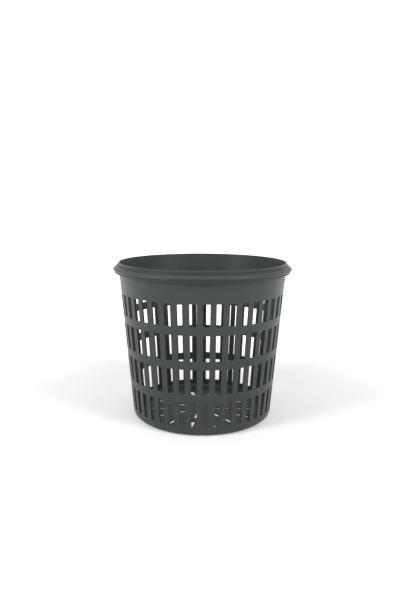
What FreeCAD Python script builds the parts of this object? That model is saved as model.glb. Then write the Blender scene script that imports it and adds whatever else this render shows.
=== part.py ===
"""Hydroponic net pot: one moulded plastic basket with a rolled rim and a slotted wall and floor.

Units are millimetres. +Z is up, the origin is the centre of the underside, -Y is the front.
"""
import FreeCAD, Part
import math
import os

# --- overall -----------------------------------------------------------------
RIM_DIAMETER = 150.0        # over the widest circle of the rolled rim
POT_HEIGHT = 132.0          # underside to the crest of the rim

# --- wall and floor ----------------------------------------------------------
WALL_THICKNESS = 1.1        # measured square to the axis
WALL_TAPER_DEG = 4.9        # each side, for nesting and mould release
RIM_OVERHANG = 4.75         # widest circle of the rim out from the wall at the same height
FLOOR_THICKNESS = 1.2
BASE_CORNER_RADIUS = 4.5    # outside, between wall and floor

# --- rolled rim, heights measured down from the crest ------------------------
CREST_WIDTH = 1.0           # upstanding edge above the ledge
CREST_RISE = 0.3            # its rounded top
LEDGE_DROP = 2.3            # flat ledge outside the upstanding edge
LEDGE_WIDTH = 1.5
GROOVE_DROP = 3.4           # foot of the ledge, where the bead starts
BEAD_RISE = 0.55            # bulge of the bead above a straight slope
BEAD_DROP = 5.6             # widest circle of the bead
PINCH_DROP = 7.4            # small step between the bead and the hanging lip
PINCH_DEPTH = 1.5           # step in from the widest circle
LIP_DROP = 8.5              # underside of the hanging lip
LIP_PROUD = 0.35            # ridge of the lip out from the step
RIM_THICKNESS = 1.2         # plastic in the bead and the lip
ROOT_DROP = 5.2             # where the underside of the bead leaves the wall
ROOT_RISE = 0.6             # arch of the underside

# --- wall slots --------------------------------------------------------------
SLOT_COLUMNS = 42
SLOT_ROWS = 4
RIB_WIDTH = 4.6             # upright bar between neighbouring slots
BAND_HEIGHT = 6.6           # hoop between neighbouring rows
ROW_PITCH = 27.1
LOWEST_SLOT_Z = 8.0
TOP_SLOT_END_Z = 107.0      # the top row stops short and leaves a plain collar
RIB_PHASE_DEG = 6.85        # one rib's centre, from the front towards +X

# --- floor slots: columns, inner end, outer end, width -----------------------
FLOOR_RINGS = (
    (14, 31.0, 44.0, 3.6),
    (7, 12.0, 24.0, 3.6),
)

# --- locating nib under the rim ----------------------------------------------
NIB_WIDTH = 1.0
NIB_HEIGHT = 2.8            # below the hanging lip
NIB_REACH = 1.4             # out from the wall
NIB_ANGLE_DEG = 1.6         # from the front towards +X

CUT_MARGIN = 2.0            # how far a cutter runs past the plastic
ROUND_STEP_DEG = 30.0       # small rounds are turned as chamfers of about this step

AXIS_FOOT = FreeCAD.Vector(0.0, 0.0, 0.0)
UP = FreeCAD.Vector(0.0, 0.0, 1.0)
TAPER = math.tan(math.radians(WALL_TAPER_DEG))
RIM_RADIUS = RIM_DIAMETER / 2.0
BEAD_Z = POT_HEIGHT - BEAD_DROP


def wall_radius(z):
    """Outside radius of the tapered wall at height z."""
    return RIM_RADIUS - RIM_OVERHANG + (z - BEAD_Z) * TAPER


def arc_points(start, end, rise, steps=None):
    """Points along the arc whose middle stands rise to the left of the way from start to end."""
    chord = FreeCAD.Vector(end[0] - start[0], 0.0, end[1] - start[1])
    left = FreeCAD.Vector(-chord.z, 0.0, chord.x).normalize() * math.copysign(1.0, rise)
    half_angle = 2.0 * math.atan(2.0 * abs(rise) / chord.Length)
    radius = chord.Length / (2.0 * math.sin(half_angle))
    middle = FreeCAD.Vector((start[0] + end[0]) / 2.0, 0.0, (start[1] + end[1]) / 2.0)
    centre = middle - left * (radius * math.cos(half_angle))
    along = chord.normalize()
    steps = steps or max(2, round(math.degrees(2.0 * half_angle) / ROUND_STEP_DEG))
    points = [start]
    for step in range(1, steps):
        turn = half_angle * (2.0 * step / steps - 1.0)
        spot = centre + left * (radius * math.cos(turn)) + along * (radius * math.sin(turn))
        points.append((spot.x, spot.z))
    return points + [end]


def floor_corner(radius, wall_at_zero, floor_z):
    """Foot on the floor plane, heel on the tapered wall and rise of the round between them."""
    lean = math.radians(WALL_TAPER_DEG)
    centre_z = floor_z + radius
    centre_r = wall_at_zero + centre_z * TAPER - radius / math.cos(lean)
    foot = (centre_r, floor_z)
    heel = (centre_r + radius * math.cos(lean), centre_z - radius * math.sin(lean))
    return foot, heel, radius * (1.0 - math.cos((math.pi / 2.0 - lean) / 2.0))


def straight(start, end):
    """Straight edge of the section. The wall's is a two-pole curve, which facets more lightly."""
    spots = [FreeCAD.Vector(r, 0.0, z) for r, z in (start, end)]
    if abs(start[1] - end[1]) < POT_HEIGHT / 2.0:
        return Part.LineSegment(*spots).toShape()
    curve = Part.BezierCurve()
    curve.setPoles(spots)
    return curve.toShape()


def half_section():
    """Closed face of floor, wall and rolled rim in the XZ plane, ready to turn about Z."""
    outer_foot, outer_heel, outer_rise = floor_corner(BASE_CORNER_RADIUS, wall_radius(0.0), 0.0)
    inner_foot, inner_heel, inner_rise = floor_corner(
        max(BASE_CORNER_RADIUS - WALL_THICKNESS, WALL_THICKNESS),
        wall_radius(0.0) - WALL_THICKNESS, FLOOR_THICKNESS)
    floor_centre = (0.0, FLOOR_THICKNESS)

    # underside of the rim: arch, hanging lip and its ridge
    root_z = POT_HEIGHT - ROOT_DROP
    pinch_z = POT_HEIGHT - PINCH_DROP
    lip_z = POT_HEIGHT - LIP_DROP
    root = (wall_radius(root_z), root_z)
    skirt = (RIM_RADIUS - RIM_THICKNESS, BEAD_Z)
    pinch = (RIM_RADIUS - PINCH_DEPTH, pinch_z)
    lip_inner = (pinch[0] - RIM_THICKNESS, lip_z)
    lip_outer = (pinch[0], lip_z)
    lip_ridge = (pinch[0] + LIP_PROUD, (lip_z + pinch_z) / 2.0)

    # top of the rim: bead, groove, ledge and upstanding edge
    bead = (RIM_RADIUS, BEAD_Z)
    crest_z = POT_HEIGHT - CREST_RISE
    ledge_z = POT_HEIGHT - LEDGE_DROP
    crest_inner = (wall_radius(crest_z) - WALL_THICKNESS, crest_z)
    crest_outer = (crest_inner[0] + CREST_WIDTH, crest_z)
    ledge_inner = (crest_outer[0], ledge_z)
    ledge_outer = (crest_outer[0] + LEDGE_WIDTH, ledge_z)
    groove = (ledge_outer[0], POT_HEIGHT - GROOVE_DROP)

    below_bead = [floor_centre, (0.0, 0.0)]
    below_bead += arc_points(outer_foot, outer_heel, -outer_rise)
    below_bead += arc_points(root, skirt, ROOT_RISE)
    below_bead += [lip_inner, lip_outer, lip_ridge, pinch, bead]
    above_bead = [groove, ledge_outer, ledge_inner]
    above_bead += arc_points(crest_outer, crest_inner, -CREST_RISE)
    above_bead += arc_points(inner_heel, inner_foot, inner_rise)
    above_bead += [floor_centre]

    edges = [straight(a, b) for a, b in zip(below_bead, below_bead[1:])]
    bead_top = [FreeCAD.Vector(r, 0.0, z) for r, z in arc_points(bead, groove, -BEAD_RISE, 2)]
    edges.append(Part.Arc(*bead_top).toShape())
    edges += [straight(a, b) for a, b in zip(above_bead, above_bead[1:])]
    return Part.Face(Part.Wire(edges))


def slot_cutter(low_z, high_z):
    """Prism that cuts one slot, on +X: its flanks lie parallel to the ribs beside it."""
    half_pitch = math.pi / SLOT_COLUMNS
    reach = RIB_WIDTH / 2.0
    near = wall_radius(low_z) - WALL_THICKNESS - CUT_MARGIN
    far = wall_radius(high_z) + CUT_MARGIN
    outline = []
    for radius, side in ((near, -1.0), (far, -1.0), (far, 1.0), (near, 1.0)):
        x = radius * math.cos(half_pitch) + reach * math.sin(half_pitch)
        y = side * (radius * math.sin(half_pitch) - reach * math.cos(half_pitch))
        outline.append(FreeCAD.Vector(x, y, low_z))
    face = Part.Face(Part.makePolygon(outline + outline[:1]))
    return face.extrude(UP * (high_z - low_z))


def turned(shape, angle_deg):
    """Copy of a shape turned about the pot's axis."""
    copy = shape.copy()
    copy.rotate(AXIS_FOOT, UP, angle_deg)
    return copy


def wall_slots():
    """Every wall slot: rows stacked up the wall, columns between the ribs."""
    first_slot_deg = RIB_PHASE_DEG - 90.0 + 180.0 / SLOT_COLUMNS
    cutters = []
    for row in range(SLOT_ROWS):
        low_z = LOWEST_SLOT_Z + row * ROW_PITCH
        high_z = min(low_z + ROW_PITCH - BAND_HEIGHT, TOP_SLOT_END_Z)
        cutter = slot_cutter(low_z, high_z)
        for column in range(SLOT_COLUMNS):
            cutters.append(turned(cutter, first_slot_deg + column * 360.0 / SLOT_COLUMNS))
    return cutters


def floor_slots():
    """Radial drain slots in rings across the floor."""
    cutters = []
    depth = FLOOR_THICKNESS + 2.0 * CUT_MARGIN
    for columns, inner, outer, width in FLOOR_RINGS:
        near_corner = FreeCAD.Vector(inner, -width / 2.0, -CUT_MARGIN)
        cutter = Part.makeBox(outer - inner, width, depth, near_corner)
        for column in range(columns):
            cutters.append(turned(cutter, column * 360.0 / columns))
    return cutters


def locating_nib():
    """Small upright rib on the collar, from under the bead to just below the hanging lip."""
    low_z = POT_HEIGHT - LIP_DROP - NIB_HEIGHT
    top_z = POT_HEIGHT - ROOT_DROP - NIB_REACH / 2.0
    start = wall_radius(low_z) - WALL_THICKNESS / 2.0
    length = wall_radius(top_z) + NIB_REACH - start
    near_corner = FreeCAD.Vector(start, -NIB_WIDTH / 2.0, low_z)
    return turned(Part.makeBox(length, NIB_WIDTH, top_z - low_z, near_corner), NIB_ANGLE_DEG - 90.0)


def net_pot():
    """The whole moulding as one shape."""
    body = half_section().revolve(AXIS_FOOT, UP, 360.0)
    body = body.fuse(locating_nib())
    return body.cut(Part.makeCompound(wall_slots() + floor_slots()))


def main():
    """Build the pot and write its STEP file."""
    os.makedirs("parts", exist_ok=True)
    pot = net_pot()
    print("solids", len(pot.Solids), "valid", pot.isValid(), "volume_cm3", round(pot.Volume / 1000.0, 2))
    pot.Solids[0].exportStep("parts/net_pot.step")


main()
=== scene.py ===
"""Studio scene for a hydroponic net pot.

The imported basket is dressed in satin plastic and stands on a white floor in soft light.
"""

import logging
import math
from dataclasses import dataclass, field
from enum import Enum

import bmesh
import bpy
from mathutils import Euler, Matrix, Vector


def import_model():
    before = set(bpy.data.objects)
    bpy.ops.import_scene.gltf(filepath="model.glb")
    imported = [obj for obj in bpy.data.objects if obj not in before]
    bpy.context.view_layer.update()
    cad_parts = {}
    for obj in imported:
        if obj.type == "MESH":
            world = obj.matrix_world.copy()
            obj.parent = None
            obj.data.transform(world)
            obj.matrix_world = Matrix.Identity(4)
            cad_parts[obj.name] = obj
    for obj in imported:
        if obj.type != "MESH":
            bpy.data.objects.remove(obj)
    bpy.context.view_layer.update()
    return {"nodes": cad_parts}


LOG = logging.getLogger("net_pot")


class Backing(Enum):
    """What stands behind and under the pot."""

    FLOOR = "studio_floor"
    SURROUND = "studio_surround"


def seen_directly(tree: bpy.types.NodeTree) -> bpy.types.NodeSocket:
    """Add the test for rays that show the backing itself.

    Args:
        tree: the node tree that gets the nodes.

    Returns:
        A socket that is 1 for camera, glossy and transmission rays.
    """
    path = tree.nodes.new("ShaderNodeLightPath")
    total = path.outputs["Is Camera Ray"]
    for ray in ("Is Glossy Ray", "Is Transmission Ray"):
        either = tree.nodes.new("ShaderNodeMath")
        either.operation = "MAXIMUM"
        tree.links.new(total, either.inputs[0])
        tree.links.new(path.outputs[ray], either.inputs[1])
        total = either.outputs[0]
    return total


@dataclass(frozen=True)
class SatinPlastic:
    """Dark moulded plastic: a satin skin with a faint mottle and a very fine grain."""

    name: str = "satin_dark_plastic"
    colour: tuple[float, float, float] = (0.036, 0.042, 0.042)
    mottle_colour: tuple[float, float, float] = (0.046, 0.052, 0.052)
    mottle_scale: float = 45.0
    mottle_detail: float = 3.0
    grain_scale: float = 900.0
    grain_depth: float = 0.00004
    grain_strength: float = 0.5
    roughness_low: float = 0.34
    roughness_high: float = 0.44
    index_of_refraction: float = 1.5
    specular_level: float = 0.25

    def build(self) -> bpy.types.Material:
        """Make the material.

        Returns:
            The plastic, with its patterns on object coordinates.
        """
        material = bpy.data.materials.new(self.name)
        material.use_nodes = True
        tree = material.node_tree
        shader = tree.nodes["Principled BSDF"]
        shader.inputs["IOR"].default_value = self.index_of_refraction
        shader.inputs["Specular IOR Level"].default_value = self.specular_level
        place = tree.nodes.new("ShaderNodeTexCoord")

        mottle = tree.nodes.new("ShaderNodeTexNoise")
        mottle.inputs["Scale"].default_value = self.mottle_scale
        mottle.inputs["Detail"].default_value = self.mottle_detail
        tree.links.new(place.outputs["Object"], mottle.inputs["Vector"])

        tint = tree.nodes.new("ShaderNodeMix")
        tint.data_type = "RGBA"
        tint.inputs["A"].default_value = (*self.colour, 1.0)
        tint.inputs["B"].default_value = (*self.mottle_colour, 1.0)
        tree.links.new(mottle.outputs["Fac"], tint.inputs["Factor"])
        tree.links.new(tint.outputs["Result"], shader.inputs["Base Color"])

        gloss = tree.nodes.new("ShaderNodeMapRange")
        gloss.inputs["To Min"].default_value = self.roughness_low
        gloss.inputs["To Max"].default_value = self.roughness_high
        tree.links.new(mottle.outputs["Fac"], gloss.inputs["Value"])
        tree.links.new(gloss.outputs["Result"], shader.inputs["Roughness"])

        grain = tree.nodes.new("ShaderNodeTexNoise")
        grain.inputs["Scale"].default_value = self.grain_scale
        tree.links.new(place.outputs["Object"], grain.inputs["Vector"])
        bump = tree.nodes.new("ShaderNodeBump")
        bump.inputs["Distance"].default_value = self.grain_depth
        bump.inputs["Strength"].default_value = self.grain_strength
        tree.links.new(grain.outputs["Fac"], bump.inputs["Height"])
        tree.links.new(bump.outputs["Normal"], shader.inputs["Normal"])
        return material


@dataclass(frozen=True)
class WhiteFloor:
    """Matt white floor that shows as white where it is lit and keeps the pot's shadow."""

    name: str = "white_floor"
    colour: float = 0.80
    glow: float = 0.26
    far_glow: float = 1.0
    near_radius: float = 0.13
    far_radius: float = 0.45

    def build(self) -> bpy.types.Material:
        """Make the material.

        Returns:
            A white floor with a little glow for the camera and for reflections.
        """
        material = bpy.data.materials.new(self.name)
        material.use_nodes = True
        tree = material.node_tree
        shader = tree.nodes["Principled BSDF"]
        shader.inputs["Base Color"].default_value = (self.colour,) * 3 + (1.0,)
        shader.inputs["Roughness"].default_value = 1.0
        shader.inputs["Specular IOR Level"].default_value = 0.0
        glow = tree.nodes.new("ShaderNodeEmission")
        place = tree.nodes.new("ShaderNodeTexCoord")
        reach = tree.nodes.new("ShaderNodeVectorMath")
        reach.operation = "LENGTH"
        tree.links.new(place.outputs["Object"], reach.inputs[0])
        spread = tree.nodes.new("ShaderNodeMapRange")
        spread.interpolation_type = "SMOOTHSTEP"
        spread.inputs["From Min"].default_value = self.near_radius
        spread.inputs["From Max"].default_value = self.far_radius
        spread.inputs["To Min"].default_value = self.glow
        spread.inputs["To Max"].default_value = self.far_glow
        tree.links.new(reach.outputs["Value"], spread.inputs["Value"])
        tree.links.new(spread.outputs["Result"], glow.inputs["Strength"])
        both = tree.nodes.new("ShaderNodeAddShader")
        tree.links.new(shader.outputs[0], both.inputs[0])
        tree.links.new(glow.outputs[0], both.inputs[1])
        chosen = tree.nodes.new("ShaderNodeMixShader")
        tree.links.new(seen_directly(tree), chosen.inputs["Fac"])
        tree.links.new(shader.outputs[0], chosen.inputs[1])
        tree.links.new(both.outputs[0], chosen.inputs[2])
        tree.links.new(chosen.outputs[0], tree.nodes["Material Output"].inputs["Surface"])
        return material


@dataclass
class NetPot:
    """The one moulded piece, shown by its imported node."""

    node_name: str = "net_pot"
    plastic: SatinPlastic = field(default_factory=SatinPlastic)

    def dress(self, nodes: dict[str, bpy.types.Object]) -> bpy.types.Object:
        """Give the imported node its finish.

        Args:
            nodes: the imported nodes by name.

        Returns:
            The pot's node, dressed.
        """
        node = nodes[self.node_name]
        finish = self.plastic.build()
        for place in node.material_slots:
            place.material = finish
        return node


@dataclass(frozen=True)
class ViewPoint:
    """Where the camera stands, how it looks, and its lens in millimetres."""

    place: tuple[float, float, float] = (-0.0016, -0.4562, 0.1792)
    pitch_deg: float = 10.1
    roll_deg: float = 0.23
    lens: float = 48.49
    sensor_width: float = 36.0


@dataclass(frozen=True)
class SoftLamp:
    """One soft square lamp: its place and side in metres, its power in watts."""

    name: str
    place: tuple[float, float, float]
    size: float
    power: float


@dataclass
class Studio:
    """Floor, surround, lamps and camera."""

    floor_radius: float = 6.0
    floor_segments: int = 96
    fill: float = 0.30
    white: float = 1.0
    aim: tuple[float, float, float] = (0.0, 0.0, 0.07)
    view: ViewPoint = field(default_factory=ViewPoint)
    lamps: tuple[SoftLamp, ...] = (
        SoftLamp("lamp_front_left", (-1.08, -0.66, 0.70), 0.40, 12.0),
        SoftLamp("lamp_front_right", (1.02, -0.76, 0.70), 0.40, 11.0),
        SoftLamp("lamp_overhead", (0.0, 0.1, 1.5), 1.2, 6.0),
    )

    def lay_floor(self) -> bpy.types.Object:
        """Make the round white floor under the pot.

        Returns:
            The floor object.
        """
        mesh = bpy.data.meshes.new(Backing.FLOOR.value)
        work = bmesh.new()
        bmesh.ops.create_circle(
            work, cap_ends=True, segments=self.floor_segments, radius=self.floor_radius)
        work.to_mesh(mesh)
        work.free()
        floor = bpy.data.objects.new(Backing.FLOOR.value, mesh)
        bpy.context.scene.collection.objects.link(floor)
        mesh.materials.append(WhiteFloor().build())
        return floor

    def set_surround(self) -> bpy.types.World:
        """Make the world: white where it is seen, a plain fill elsewhere.

        Returns:
            The world in use.
        """
        world = bpy.data.worlds.new(Backing.SURROUND.value)
        bpy.context.scene.world = world
        world.use_nodes = True
        tree = world.node_tree
        fill = tree.nodes["Background"]
        fill.inputs["Color"].default_value = (1.0, 1.0, 1.0, 1.0)
        fill.inputs["Strength"].default_value = self.fill
        white = tree.nodes.new("ShaderNodeBackground")
        white.inputs["Color"].default_value = (1.0, 1.0, 1.0, 1.0)
        white.inputs["Strength"].default_value = self.white
        chosen = tree.nodes.new("ShaderNodeMixShader")
        tree.links.new(seen_directly(tree), chosen.inputs["Fac"])
        tree.links.new(fill.outputs[0], chosen.inputs[1])
        tree.links.new(white.outputs[0], chosen.inputs[2])
        tree.links.new(chosen.outputs[0], tree.nodes["World Output"].inputs["Surface"])
        return world

    def hang_lamp(self, lamp: SoftLamp) -> bpy.types.Object:
        """Hang one lamp so that it faces the pot.

        Args:
            lamp: the lamp to hang.

        Returns:
            The lamp object.
        """
        data = bpy.data.lights.new(lamp.name, "AREA")
        data.shape = "SQUARE"
        data.size = lamp.size
        data.energy = lamp.power
        hung = bpy.data.objects.new(lamp.name, data)
        hung.location = lamp.place
        towards_pot = Vector(self.aim) - Vector(lamp.place)
        hung.rotation_euler = towards_pot.to_track_quat("-Z", "Y").to_euler()
        bpy.context.scene.collection.objects.link(hung)
        return hung

    def light(self) -> None:
        """Hang every lamp."""
        for lamp in self.lamps:
            self.hang_lamp(lamp)

    def place_camera(self) -> bpy.types.Object:
        """Stand the camera in front of the pot, a little above its rim.

        Returns:
            The camera object.
        """
        view = self.view
        data = bpy.data.cameras.new("studio_camera")
        data.sensor_fit = "HORIZONTAL"
        data.sensor_width = view.sensor_width
        data.lens = view.lens
        camera = bpy.data.objects.new("studio_camera", data)
        camera.location = view.place
        camera.rotation_mode = "XYZ"
        look = Euler((math.radians(90.0 - view.pitch_deg), 0.0, 0.0)).to_matrix()
        roll = Euler((0.0, 0.0, math.radians(view.roll_deg))).to_matrix()
        camera.rotation_euler = (look @ roll).to_euler()
        bpy.context.scene.collection.objects.link(camera)
        bpy.context.scene.camera = camera
        return camera


def main() -> None:
    """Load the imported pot, dress it and set up the studio."""
    logging.basicConfig(level=logging.INFO, format="%(message)s")
    bpy.context.scene.view_settings.view_transform = "Standard"
    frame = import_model()

    pot = NetPot().dress(frame["nodes"])
    LOG.info("pot dressed: %d faces", len(pot.data.polygons))

    studio = Studio()
    studio.set_surround()
    studio.lay_floor()
    studio.light()
    studio.place_camera()
    LOG.info("studio set")


if __name__ == "__main__":
    main()
